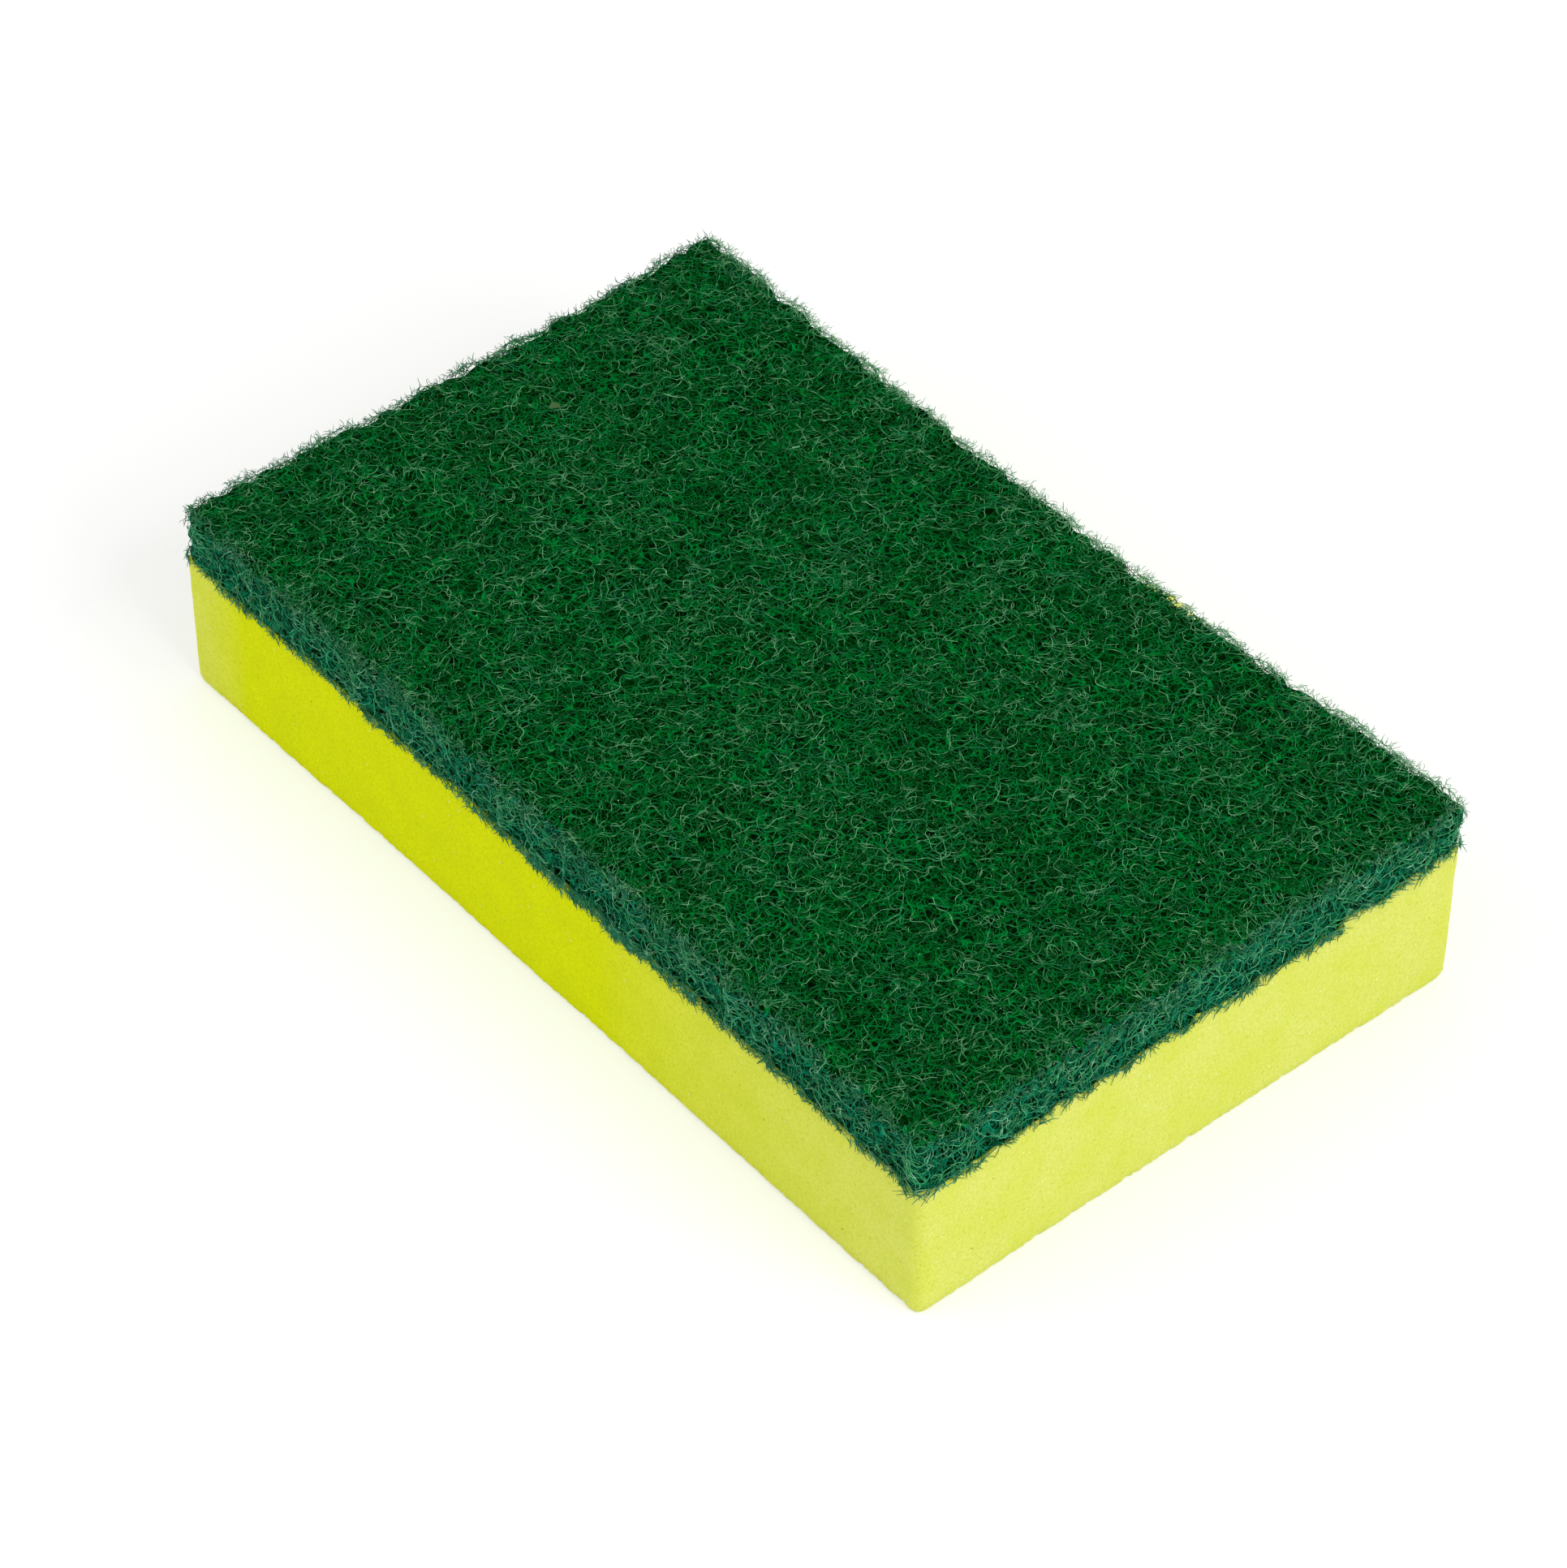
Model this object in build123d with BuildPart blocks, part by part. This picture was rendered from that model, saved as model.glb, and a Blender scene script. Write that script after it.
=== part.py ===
from build123d import *

import math
import os

os.makedirs("parts", exist_ok=True)

# Cleaning sponge: a block of foam with a non-woven scouring pad glued all over its top.
# The origin is the middle of the underside. X runs along the sponge, Y across it, Z up.
# Sizes are in millimetres and angles in degrees.

# Overall size
length = 140.0
width = 85.0
foam_height = 20.2
pad_height = 8.6

# The saw cuts, which bow inwards because the slab was squeezed while it was cut
waist_front = 0.25
waist_right = 0.25
waist_back = 1.9
waist_left = 1.2
corner_radius = 1.6
foam_edge_radius = 0.9

# The pad is a lofty web laid down in layers, and each layer frays at the cut by itself
layer_count = 3
layer_step_in = 0.35
tuft_pitch = 4.0
notch_first = 0.3  # share of the pitch from a tuft to the nearest place of its notch
notch_last = 0.7
fray_least = 0.3
fray_most = 1.0

# Crimped strands lie across each other on the top layer and leave gaps between them
strand_count = 120
strand_height = 0.8
strand_width = 1.1
strand_runs = 4
strand_run_length = 6.0
crimp_turn_least = 20.0
crimp_turn_most = 55.0
reversed_crimps = 0.3  # share of the crimps that turn back the other way

# Steps that never repeat, so that strands and tufts look scattered but stay even
golden_turn = 180.0 * (3.0 - math.sqrt(5.0))
plastic_ratio = 1.32471795724475


def between(least, most, share):
    """The value that lies a share of the way from least to most."""
    return least + (most - least) * share


def scatter(index, salt):
    """An irregular number from 0 to 1 for each index, and other ones for each salt."""
    return (index * golden_turn / 360.0 * salt + salt / plastic_ratio) % 1.0


def cut_outline(inset):
    """The closed line of the four saw cuts, moved inwards by inset."""
    x = length / 2 - inset
    y = width / 2 - inset
    with BuildSketch(mode=Mode.PRIVATE) as outline:
        with BuildLine():
            SagittaArc((-x, -y), (x, -y), waist_front)
            SagittaArc((x, -y), (x, y), waist_right)
            SagittaArc((x, y), (-x, y), waist_back)
            SagittaArc((-x, y), (-x, -y), waist_left)
        make_face()
        fillet(outline.vertices(), corner_radius)
    return outline.face().outer_wire()


def frayed_outline(layer):
    """A layer's saw-cut line with its tufts, each a point on the line between two notches."""
    line = cut_outline(layer * layer_step_in)
    tufts = round(line.length / tuft_pitch)
    shift = layer / layer_count
    corners = []
    for index in range(tufts):
        corners.append(line @ ((index + shift) / tufts))
        from_tuft = between(notch_first, notch_last, scatter(index, 5))
        notch_at = (index + shift + from_tuft) / tufts % 1.0
        depth = between(fray_least, fray_most, scatter(index, 2 * layer + 3))
        inwards = Axis.Z.direction.cross(line % notch_at)
        corners.append((line @ notch_at) + inwards * depth)
    with BuildSketch(mode=Mode.PRIVATE) as shape:
        with BuildLine():
            Polyline(*corners, close=True)
        make_face()
    return shape.face()


def strand(index):
    """The flat shape of one strand: straight runs with a crimp between each two."""
    headings = [index * golden_turn]
    for crimp in range(1, strand_runs):
        turn = between(crimp_turn_least, crimp_turn_most, scatter(index + crimp, 11))
        side = 1 if scatter(index + crimp, 3) > reversed_crimps else -1
        headings.append(headings[-1] + side * turn)
    spine = [Vector(0, 0)]
    for heading in headings:
        run = Vector(strand_run_length, 0).rotate(Axis.Z, heading)
        spine.append(spine[-1] + run)

    x = length * ((index + 0.5) / plastic_ratio % 1.0 - 0.5)
    y = width * ((index + 0.5) / plastic_ratio**2 % 1.0 - 0.5)
    shift = Vector(x, y) - spine[strand_runs // 2]
    left = []
    right = []
    for point, before, after in zip(spine, [headings[0], *headings], [*headings, headings[-1]]):
        across = Vector(0, strand_width / 2).rotate(Axis.Z, (before + after) / 2)
        left.append(point + shift + across)
        right.append(point + shift - across)
    with BuildSketch(mode=Mode.PRIVATE) as shape:
        with BuildLine():
            Polyline(*left, *reversed(right), close=True)
        make_face()
    return shape.face()


with BuildPart() as foam_block:
    with BuildSketch():
        make_face(cut_outline(0).edges())
    extrude(amount=foam_height)
    underside = foam_block.faces().sort_by(Axis.Z)[0]
    fillet(underside.edges(), foam_edge_radius)

layer_height = (pad_height - strand_height) / layer_count

with BuildPart() as scouring_pad:
    for layer in range(layer_count):
        with BuildSketch(Plane.XY.offset(foam_height + layer * layer_height)):
            add(frayed_outline(layer))
        extrude(amount=layer_height)

    with BuildSketch(Plane.XY.offset(foam_height + layer_count * layer_height)):
        add([strand(index) for index in range(strand_count)])
        add(frayed_outline(layer_count - 1), mode=Mode.INTERSECT)
    extrude(amount=strand_height)

foam_block.part.label = "foam_block"
export_step(foam_block.part, "parts/foam_block.step")

scouring_pad.part.label = "scouring_pad"
export_step(scouring_pad.part, "parts/scouring_pad.step")
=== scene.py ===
import math

import bpy
import numpy as np
from mathutils import Matrix, Vector


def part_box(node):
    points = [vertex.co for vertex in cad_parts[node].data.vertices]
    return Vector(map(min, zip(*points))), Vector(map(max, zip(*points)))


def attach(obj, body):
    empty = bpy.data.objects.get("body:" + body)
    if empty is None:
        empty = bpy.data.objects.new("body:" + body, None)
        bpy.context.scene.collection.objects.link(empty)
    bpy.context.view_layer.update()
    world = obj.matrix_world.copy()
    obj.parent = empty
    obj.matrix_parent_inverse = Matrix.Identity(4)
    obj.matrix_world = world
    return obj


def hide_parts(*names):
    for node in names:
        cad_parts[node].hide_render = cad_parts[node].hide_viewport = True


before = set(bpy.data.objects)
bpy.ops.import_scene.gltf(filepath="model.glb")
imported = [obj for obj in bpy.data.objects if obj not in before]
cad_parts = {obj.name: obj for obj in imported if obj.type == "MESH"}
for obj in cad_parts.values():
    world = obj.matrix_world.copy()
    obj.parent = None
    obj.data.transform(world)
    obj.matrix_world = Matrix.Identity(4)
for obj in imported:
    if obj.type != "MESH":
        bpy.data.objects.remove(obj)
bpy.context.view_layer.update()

# Shapes are worked out in millimetres in the CAD frame, and written to meshes in metres.
MM = 0.001

# The same cuts as in the CAD: they bow inwards between the corners
HALF_LENGTH = 70.0
HALF_WIDTH = 42.5
BOW_FRONT = 0.25
BOW_RIGHT = 0.25
BOW_BACK = 1.9
BOW_LEFT = 1.2
CORNER_RADIUS = 1.6
FOAM_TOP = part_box("foam_block")[1][2] / MM
PAD_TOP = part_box("scouring_pad")[1][2] / MM

# Grids: columns along the sides, twice as fine as the grid of the flat faces
GRID_X = 176
GRID_Y = 106
COLUMNS_X = 2 * GRID_X
COLUMNS_Y = 2 * GRID_Y

# The foam: its worn lower edge, the rows of points up its sides, and how high it shows at the back
FOAM_EDGE_RADIUS = 0.9
FOAM_ROWS = 28
LIP_RISE_BACK = 1.0

# Where the side's fine columns meet the underside: three steps further and further inside the cut
UNDERSIDE_INSETS = (1.5, 2.2, 3.2)

# The pad's rim: rounded most at the front, and loose, sharp and raised at the back
RIM_RADIUS = 1.0
RIM_RADIUS_MORE = 1.0
UNWORN_OUT = 0.35
UNWORN_UP = 0.3
UNWORN_SHARPER = 0.25

# How far the dark core lies under the strands
CORE_DEPTH = 0.45

# Strands hang over the foam near the middle of the front
FRONT_HANG = 0.8
FRONT_HANG_AT = 15.0
FRONT_HANG_REACH = 22.0

# Strands: the step of the exact path, what a straight millimetre counts against a turned radian
# when points are shared out, and the crimps as least and most wavelength and least and most swing
STRAND_SIDES = 3
FINE_STEP = 0.2
STRAIGHT_COST = 0.6
CRIMPS = ((4.5, 9.0, 0.4, 1.2), (1.8, 3.6, 0.2, 0.8))

# Each kind of strand: its length or number of points, and its share at a special place
TOP_STRAND_LENGTH = 8.0
TOP_STRAND_POINTS = 15
RIM_SHARE = 0.07
SIDE_STRAND_LENGTH = 4.6
SIDE_STRAND_POINTS = 11
FUZZ_POINTS = 4
FUZZ_SHARE_ON_TOP = 0.6
STUB_POINTS = 4
STUB_SHARE_IN_FRONT = 0.1

# The tones of each kind of strand, dark, middle, pale and cool, and the share of pale ones; the
# pale tone is a painted highlight, the darker copy of the green for the deepest strands is painted
# shade, and the fringe is lighter partly as painted light through its loose strands
STRAND_TONES = {
    "web_green": ((2, 84, 22), (24, 138, 62), (122, 192, 136), (34, 142, 100), 0.42),
    "web_painted_shade_green": ((0, 50, 6), (0, 92, 26), (30, 126, 62), (8, 92, 54), 0.3),
    "web_cut_teal": ((32, 138, 76), (76, 184, 118), (156, 220, 176), (72, 178, 150), 0.3),
    "web_stub_teal": ((14, 96, 60), (48, 146, 100), (120, 190, 150), (48, 144, 124), 0.2),
    "web_fringe": ((30, 108, 66), (64, 144, 98), (150, 198, 156), (68, 142, 118), 0.35),
    "resin_pale": ((60, 140, 86), (110, 176, 120), (176, 206, 160), (120, 168, 140), 0.4),
    "film_grey": ((58, 96, 54), (76, 108, 64), (96, 128, 84), (84, 112, 76), 0.2),
    "crumb_yellow": ((214, 224, 60), (232, 238, 110), (246, 248, 180), (226, 228, 96), 0.4),
}

# Strands that show deep in the web: the width of their loops, and how light they are from 0 to 1,
# which is painted shade, darker for strands deeper in the web
DEEP_STRANDS = ((1.5, 0.25), (1.8, 0.4), (1.6, 0.6), (2.0, 0.8), (2.4, 1.0))
DEEP_STRAND_WIDTH = 0.075

# Where crumbs of foam sit along the back rim, and the corners of two scraps of film on the top
CRUMBS_AT = 21.5
FLAKE = ((-55.3, 4.2), (-54.5, 5.7), (-55.4, 5.9), (-56.0, 5.3))
SLIVER = ((-29.5, 22.8), (-29.15, 23.7), (-29.3, 23.75), (-29.65, 22.85))


# Noise that is smooth, seeded and quick on many points


class Noise:
    """Smooth values from -1 to 1 in space, which change over about one unit."""

    SIZE = 64

    def __init__(self, seed):
        self.table = np.random.default_rng(seed).uniform(-1, 1, (self.SIZE,) * 3)

    def __call__(self, points, scale):
        """The values at points, with lumps about scale millimetres wide."""
        at = np.asarray(points, float) / scale
        cell = np.floor(at).astype(int)
        part = at - cell
        part = part * part * (3 - 2 * part)
        total = np.zeros(len(at))
        for corner in np.ndindex(2, 2, 2):
            index = (cell + corner) % self.SIZE
            share = np.where(corner, part, 1 - part).prod(axis=1)
            total += share * self.table[index[:, 0], index[:, 1], index[:, 2]]
        return total * 1.6


def octaves(noise, points, scale, count):
    """Noise at several scales, each half as wide and half as strong as the one before."""
    return sum(noise(points, scale / 2**k) / 2**k for k in range(count))


# The outline


def depth_inside(x, y):
    """How far inside the saw-cut line a point is, negative outside it."""
    across = 1 - (y / HALF_WIDTH) ** 2
    along = 1 - (x / HALF_LENGTH) ** 2
    from_x = np.minimum(HALF_LENGTH - BOW_RIGHT * across - x, x + HALF_LENGTH - BOW_LEFT * across)
    from_y = np.minimum(HALF_WIDTH - BOW_BACK * along - y, y + HALF_WIDTH - BOW_FRONT * along)
    nearest = np.minimum(from_x, from_y)
    in_corner = np.hypot(CORNER_RADIUS - from_x, CORNER_RADIUS - from_y)
    rounded = (from_x < CORNER_RADIUS) & (from_y < CORNER_RADIUS)
    return np.where(rounded, CORNER_RADIUS - in_corner, nearest)


def outline(columns_x, columns_y):
    """Points along the saw-cut line from the front left corner, and their outward normals."""
    corners = np.array(
        [
            (-HALF_LENGTH, -HALF_WIDTH),
            (HALF_LENGTH, -HALF_WIDTH),
            (HALF_LENGTH, HALF_WIDTH),
            (-HALF_LENGTH, HALF_WIDTH),
        ]
    )
    inwards = np.array([(0, 1), (-1, 0), (0, -1), (1, 0)], float)
    bows = (BOW_FRONT, BOW_RIGHT, BOW_BACK, BOW_LEFT)
    counts = (columns_x, columns_y, columns_x, columns_y)
    points = []
    for side in range(4):
        t = (np.arange(counts[side]) / counts[side])[:, None]
        start, end = corners[side], corners[(side + 1) % 4]
        points.append(start + (end - start) * t + inwards[side] * bows[side] * 4 * t * (1 - t))
    points = np.concatenate(points)
    for corner in corners:
        centre = corner - np.sign(corner) * CORNER_RADIUS
        away = (points - centre) * np.sign(corner)
        near = (away > 0).all(axis=1)
        reach = np.linalg.norm(points[near] - centre, axis=1, keepdims=True)
        points[near] = centre + (points[near] - centre) / reach * CORNER_RADIUS
    ahead = np.roll(points, -1, axis=0) - np.roll(points, 1, axis=0)
    ahead /= np.linalg.norm(ahead, axis=1, keepdims=True)
    normals = np.stack([ahead[:, 1], -ahead[:, 0]], axis=1)
    return points, normals


RIM, RIM_NORMAL = outline(COLUMNS_X, COLUMNS_Y)
RIM_STEP = np.linalg.norm(np.roll(RIM, -1, axis=0) - RIM, axis=1)
RIM_AT = np.concatenate([[0], np.cumsum(RIM_STEP)])
RIM_LENGTH = RIM_AT[-1]


def on_rim(at):
    """The outline's point, and outward normal, at a distance along it."""
    at = at % RIM_LENGTH
    closed = np.concatenate([RIM, RIM[:1]])
    closed_normal = np.concatenate([RIM_NORMAL, RIM_NORMAL[:1]])
    point = np.stack([np.interp(at, RIM_AT, closed[:, k]) for k in (0, 1)], axis=-1)
    normal = np.stack([np.interp(at, RIM_AT, closed_normal[:, k]) for k in (0, 1)], axis=-1)
    return point, normal / np.linalg.norm(normal, axis=-1, keepdims=True)


# Meshes


def mesh_object(name, points, faces):
    """A smooth-shaded object from points in millimetres and arrays of faces, one array per kind."""
    mesh = bpy.data.meshes.new(name)
    mesh.vertices.add(len(points))
    mesh.vertices.foreach_set("co", (np.asarray(points) * MM).ravel())
    corners = np.concatenate([np.asarray(face).ravel() for face in faces])
    sizes = np.concatenate([np.full(len(face), face.shape[1]) for face in faces])
    mesh.loops.add(len(corners))
    mesh.loops.foreach_set("vertex_index", corners.astype(np.int32))
    mesh.polygons.add(len(sizes))
    starts = np.concatenate([[0], np.cumsum(sizes)[:-1]])
    mesh.polygons.foreach_set("loop_start", starts.astype(np.int32))
    mesh.update(calc_edges=True)
    mesh.validate()
    mesh.shade_smooth()
    made = bpy.data.objects.new(name, mesh)
    bpy.context.scene.collection.objects.link(made)
    return made


def ring_faces(rings, columns):
    """The quads between each ring of points and the next one up."""
    ring = np.arange(rings - 1)[:, None] * columns
    here = ring + np.arange(columns)
    there = ring + (np.arange(columns) + 1) % columns
    quads = np.stack([here, there, there + columns, here + columns], axis=-1)
    return quads.reshape(-1, 4)


def grid_sheet(cells_x, cells_y, inset):
    """A grid of points that fills the outline to an inset, its quads, and its border in order."""
    a = np.linspace(-1, 1, cells_x + 1)
    b = np.linspace(-1, 1, cells_y + 1)
    a, b = np.meshgrid(a, b, indexing="ij")
    across, along = 1 - b**2, 1 - a**2
    x = a * (HALF_LENGTH - inset) - np.where(a > 0, a * BOW_RIGHT, a * BOW_LEFT) * across
    y = b * (HALF_WIDTH - inset) - np.where(b > 0, b * BOW_BACK, b * BOW_FRONT) * along
    index = np.arange(a.size).reshape(a.shape)
    quads = np.stack([index[:-1, :-1], index[1:, :-1], index[1:, 1:], index[:-1, 1:]], axis=-1)
    border = np.concatenate([index[:-1, 0], index[-1, :-1], index[:0:-1, -1], index[0, :0:-1]])
    return np.stack([x.ravel(), y.ravel()], axis=1), quads.reshape(-1, 4), border


def seam_faces(fine, coarse):
    """The triangles between a closed row of points and one with half as many."""
    after = np.roll(coarse, -1)
    first, middle, last = fine[0::2], fine[1::2], np.roll(fine, -2)[0::2]
    return np.concatenate(
        [
            np.stack([first, middle, coarse], axis=1),
            np.stack([middle, after, coarse], axis=1),
            np.stack([middle, last, after], axis=1),
        ]
    )


# Materials


def srgb(red, green, blue):
    """A linear colour from the numbers of a picture, 0 to 255."""
    shares = np.array([red, green, blue]) / 255
    linear = np.where(shares <= 0.04045, shares / 12.92, ((shares + 0.055) / 1.055) ** 2.4)
    return (*linear.tolist(), 1.0)


class Nodes:
    """The node tree of a new material, with short calls to fill it."""

    def __init__(self, name):
        self.material = bpy.data.materials.new(name)
        self.material.use_nodes = True
        self.tree = self.material.node_tree
        self.shader = self.tree.nodes["Principled BSDF"]
        self.at = self.add("ShaderNodeTexCoord").outputs["Object"]

    def add(self, kind, inputs=(), **settings):
        """A new node, with its settings and then its inputs filled."""
        made = self.tree.nodes.new(kind)
        for name, value in settings.items():
            setattr(made, name, value)
        for name, value in dict(inputs).items():
            self.give(made.inputs[name], value)
        return made

    def give(self, socket, value):
        """Links a socket to the value, or sets it, where the value is plain."""
        if isinstance(value, bpy.types.NodeSocket):
            self.tree.links.new(value, socket)
        else:
            socket.default_value = value

    def noise(self, width, detail=3.0):
        """Values round 0.5, with lumps about width millimetres wide."""
        inputs = {"Vector": self.at, "Scale": 1 / (width * MM), "Detail": detail}
        return self.add("ShaderNodeTexNoise", inputs).outputs["Fac"]

    def cells(self, width, feature="F1", at=None):
        """The distance from the middle of a round cell, or from its edge; cells are width wide."""
        inputs = {"Vector": at or self.at, "Scale": 1 / (width * MM)}
        return self.add("ShaderNodeTexVoronoi", inputs, feature=feature).outputs["Distance"]

    def ramp(self, value, least, most, to_least=0.0, to_most=1.0):
        """The value moved from one range to another, and kept within it."""
        inputs = {"Value": value, "From Min": least, "From Max": most}
        inputs.update({"To Min": to_least, "To Max": to_most})
        return self.add("ShaderNodeMapRange", inputs).outputs["Result"]

    def maths(self, operation, first, second=0.0):
        """A sum of two values, or another operation on them."""
        return self.add("ShaderNodeMath", {0: first, 1: second}, operation=operation).outputs[0]

    def mix(self, share, first, second):
        """A share of the second colour over the first."""
        made = self.add("ShaderNodeMix", data_type="RGBA")
        for socket, value in ((0, share), (6, first), (7, second)):
            self.give(made.inputs[socket], value)
        return made.outputs[2]

    def bump(self, height, distance, strength, before=None):
        """A normal dented up to distance millimetres deep, on top of the one before."""
        inputs = {"Height": height, "Distance": distance * MM, "Strength": strength}
        if before is not None:
            inputs["Normal"] = before
        return self.add("ShaderNodeBump", inputs).outputs["Normal"]

    def finish(self, **values):
        """Gives values to the shader's sockets, and returns the material."""
        for name, value in values.items():
            self.give(self.shader.inputs[name.replace("_", " ")], value)
        return self.material


def foam_material():
    """Open-cell foam with soft mottling, painted paler towards its ends and on its end faces as
    painted light, with pores painted darker as painted shade and a few painted glints of cell
    walls.
    """
    n = Nodes("foam_yellow")
    cell = n.cells(0.42)
    fine = n.noise(0.34, detail=2.0)
    patches = n.noise(6.0, detail=2.0)
    place = n.add("ShaderNodeSeparateXYZ", {0: n.at})
    normal = n.add("ShaderNodeSeparateXYZ", {0: n.add("ShaderNodeNewGeometry").outputs["Normal"]})
    along = place.outputs[0]
    # Painted light: the foam is painted paler towards both ends and on its end faces, for the light
    # that falls on them and the highlight along the corners
    fading = n.ramp(along, 12 * MM, 30 * MM, 0.0, 0.34)
    near_right = n.maths("ADD", fading, n.ramp(along, 30 * MM, 68 * MM, 0.0, 0.5))
    near_left = n.ramp(along, -58 * MM, -68 * MM, 0.0, 0.6)
    end_face = n.ramp(n.maths("ABSOLUTE", normal.outputs[0]), 0.3, 0.8)
    paler = n.maths("MAXIMUM", near_right, near_left)
    to_wall = n.ramp(cell, 0.1, 0.7)
    deep = n.mix(to_wall, srgb(240, 251, 0), srgb(224, 237, 0))
    pale = n.mix(to_wall, srgb(242, 248, 132), srgb(232, 239, 104))
    ends = n.mix(to_wall, srgb(233, 239, 124), srgb(223, 230, 96))
    colour = n.mix(end_face, n.mix(paler, deep, pale), ends)
    paler = n.maths("MAXIMUM", paler, end_face)
    bright = n.mix(paler, srgb(248, 253, 36), srgb(240, 246, 136))
    colour = n.mix(n.ramp(fine, 0.42, 0.64, 0.0, 0.4), colour, bright)
    colour = n.mix(n.ramp(patches, 0.38, 0.68, 0.0, 0.3), colour, srgb(214, 226, 20))
    # Pores: the few cells that were cut open wide, painted darker as painted shade in their hollows
    pore_shade = n.maths("LESS_THAN", n.cells(1.2), 0.14)
    colour = n.mix(n.maths("MULTIPLY", pore_shade, 0.35), colour, srgb(190, 202, 24))
    # Glints: painted highlights where cell walls would lie flat to the light
    painted_glint = n.maths("LESS_THAN", n.cells(2.3), 0.06)
    colour = n.mix(n.maths("MULTIPLY", painted_glint, 0.75), colour, srgb(255, 255, 196))
    # Specks: crumbs of the web that settled in the cells
    speck = n.maths("LESS_THAN", n.cells(7.0), 0.02)
    colour = n.mix(n.maths("MULTIPLY", speck, 0.7), colour, srgb(92, 128, 30))
    dents = n.bump(cell, 0.025, 0.6)
    dents = n.bump(fine, 0.02, 0.6, before=dents)
    return n.finish(
        Base_Color=colour,
        Roughness=n.ramp(fine, 0.3, 0.7, 0.78, 0.95),
        Normal=dents,
        Specular_IOR_Level=0.05,
        Subsurface_Weight=0.6,
        Subsurface_Radius=(1.0, 0.95, 0.3),
        Subsurface_Scale=2.2 * MM,
    )


def network(n, width, which, thick):
    """A mask of thin lines that cross at random: the edges of cells, bent by a smooth noise."""
    inputs = {"Vector": n.at, "W": which * 3.7, "Scale": 1 / (0.8 * width * MM), "Detail": 0.0}
    smooth = n.add("ShaderNodeTexNoise", inputs, noise_dimensions="4D").outputs["Color"]
    vectors = "ShaderNodeVectorMath"
    bend = n.add(vectors, {0: smooth, 1: (0.5 + which, 0.5, 0.5)}, operation="SUBTRACT").outputs[0]
    bend = n.add(vectors, {0: bend, "Scale": 1.1 * width * MM}, operation="SCALE").outputs[0]
    place = n.add(vectors, {0: n.at, 1: bend}, operation="ADD").outputs[0]
    edge = n.cells(width, feature="DISTANCE_TO_EDGE", at=place)
    return n.ramp(edge, thick * 0.4 / width, thick / width, 1.0, 0.0)


def core_material():
    """The deep part of the web, painted dark as painted shade deep in it, with strands of several
    depths painted across it, the deeper ones darker as painted shade.
    """
    n = Nodes("web_deep_green")
    normal = n.add("ShaderNodeNewGeometry").outputs["Normal"]
    on_side = n.ramp(n.add("ShaderNodeSeparateXYZ", {0: normal}).outputs[2], 0.75, 0.35)
    patches = n.noise(5.0)
    # Painted shade: the near-black tone of the core stands in for the shade deep in the web
    colour = n.mix(n.ramp(patches, 0.35, 0.65), srgb(0, 14, 0), srgb(0, 34, 2))
    # Painted shade: each layer of strands is painted lighter or darker for its depth
    for which, (width, shade) in enumerate(DEEP_STRANDS):
        mask = network(n, width, which, DEEP_STRAND_WIDTH)
        top_tone = srgb(0, 44 + 84 * shade, 4 + 48 * shade)
        side_tone = srgb(14, 70 + 74 * shade, 44 + 60 * shade)
        colour = n.mix(n.maths("MULTIPLY", mask, 0.9), colour, n.mix(on_side, top_tone, side_tone))
    dents = n.bump(n.noise(0.5, detail=1.0), 0.12, 0.8)
    return n.finish(Base_Color=colour, Roughness=0.8, Normal=dents, Specular_IOR_Level=0.02)


def back_rim_painted_light(n):
    """How much paler the strands are painted along the back rim, where they lie loose: painted
    light passing through the loose strands there.
    """
    place = n.add("ShaderNodeSeparateXYZ", {0: n.at})
    squared = n.maths("MULTIPLY", place.outputs[0], place.outputs[0])
    bowed = n.maths("MULTIPLY", squared, BOW_BACK * MM / (HALF_LENGTH * MM) ** 2)
    unbowed = n.maths("SUBTRACT", place.outputs[1], bowed)
    edge = (HALF_WIDTH - BOW_BACK) * MM
    return n.ramp(unbowed, edge - 2.2 * MM, edge, 0.0, 0.45)


def strand_material(name):
    """Dyed strands: each has its own tone, the tone changes in patches, and pale stretches are
    painted highlights, more of them along the back rim.
    """
    *tones, pale_share = STRAND_TONES[name]
    dark, middle, pale, cool = [srgb(*tone) for tone in tones]
    n = Nodes(name)
    # Three irregular numbers of each strand, from the one that Blender gives it
    own = n.add("ShaderNodeNewGeometry").outputs["Random Per Island"]
    own_cool = n.maths("FRACT", n.maths("MULTIPLY", own, 7.0))
    own_highlight = n.maths("FRACT", n.maths("MULTIPLY", own, 31.0))
    patches = n.noise(6.0, detail=2.0)
    along = n.noise(1.0, detail=1.0)
    colour = n.mix(own, dark, middle)
    colour = n.mix(n.ramp(patches, 0.38, 0.66, 0.0, 0.25), colour, middle)
    colour = n.mix(n.ramp(own_cool, 0.55, 1.0, 0.0, 0.7), colour, cool)
    # Painted highlight: pale stretches where a strand would catch the light, set by strand and
    # along it, and more along the back rim
    wear_and_painted_highlight = n.maths("ADD", n.maths("MULTIPLY", own_highlight, 0.42), n.ramp(along, 0.3, 0.7, 0.0, 0.58))
    wear_and_painted_highlight = n.maths("ADD", wear_and_painted_highlight, back_rim_painted_light(n))
    colour = n.mix(n.ramp(wear_and_painted_highlight, 0.9 - pale_share, 0.95), colour, pale)
    return n.finish(
        Base_Color=colour,
        Roughness=n.ramp(along, 0.3, 0.7, 0.4, 0.6),
        Specular_IOR_Level=0.08,
    )


# The foam


relief = Noise(11)
swell = Noise(12)
ragged = Noise(13)


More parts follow.
